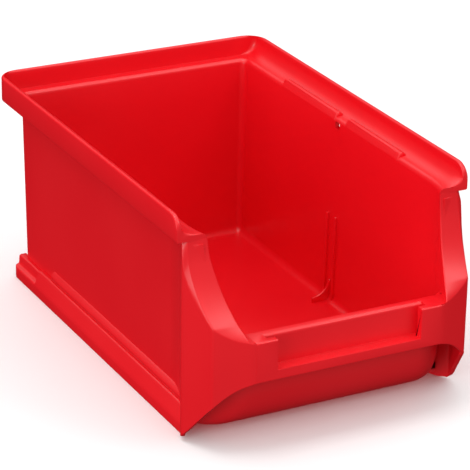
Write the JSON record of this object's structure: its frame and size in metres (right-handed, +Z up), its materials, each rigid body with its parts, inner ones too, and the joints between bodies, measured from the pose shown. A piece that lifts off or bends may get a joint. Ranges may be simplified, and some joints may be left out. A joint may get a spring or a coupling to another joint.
{
  "type": "hanging parts bin",
  "caption": "Open-fronted stacking and hanging bin for small parts, with a rolled rim, label recess and curved front corners.",
  "frame": {"origin": "middle of the resting face, halfway between the two foot rails and halfway along the bin", "axes": "+Z up, -Y towards the open front with the label, +X to the right of someone facing the front"},
  "size_m": [0.102, 0.16, 0.075],
  "materials": {
    "red_plastic": "self-coloured signal-red polypropylene, semi-gloss with a faint mould texture"
  },
  "bodies": {
    "root": {"floor_pan": "red_plastic", "back_wall": "red_plastic", "front_belly_wall": "red_plastic", "front_lip": "red_plastic", "label_panel": "red_plastic", "label_pocket": "red_plastic", "label_frame": "red_plastic", "back_rim_lip": "red_plastic", "back_rim_ledge": "red_plastic", "hanging_lip": "red_plastic", "left_side_wall": "red_plastic", "left_corner_post": "red_plastic", "left_post_flange": "red_plastic", "left_corner_skirt": "red_plastic", "left_corner_flare": "red_plastic", "left_rim_lip": "red_plastic", "left_rim_ledge": "red_plastic", "left_guide_bead_front": "red_plastic", "left_guide_bead_rear": "red_plastic", "left_foot_rail": "red_plastic", "left_rail_runner": "red_plastic", "left_wall_shoulder": "red_plastic", "left_divider_rib_front": "red_plastic", "left_divider_rib_rear": "red_plastic", "left_divider_foot": "red_plastic", "right_side_wall": "red_plastic", "right_corner_post": "red_plastic", "right_post_flange": "red_plastic", "right_corner_skirt": "red_plastic", "right_corner_flare": "red_plastic", "right_rim_lip": "red_plastic", "right_rim_ledge": "red_plastic", "right_guide_bead_front": "red_plastic", "right_guide_bead_rear": "red_plastic", "right_foot_rail": "red_plastic", "right_rail_runner": "red_plastic", "right_wall_shoulder": "red_plastic", "right_divider_rib_front": "red_plastic", "right_divider_rib_rear": "red_plastic", "right_divider_foot": "red_plastic"}
  },
  "joints": []
}
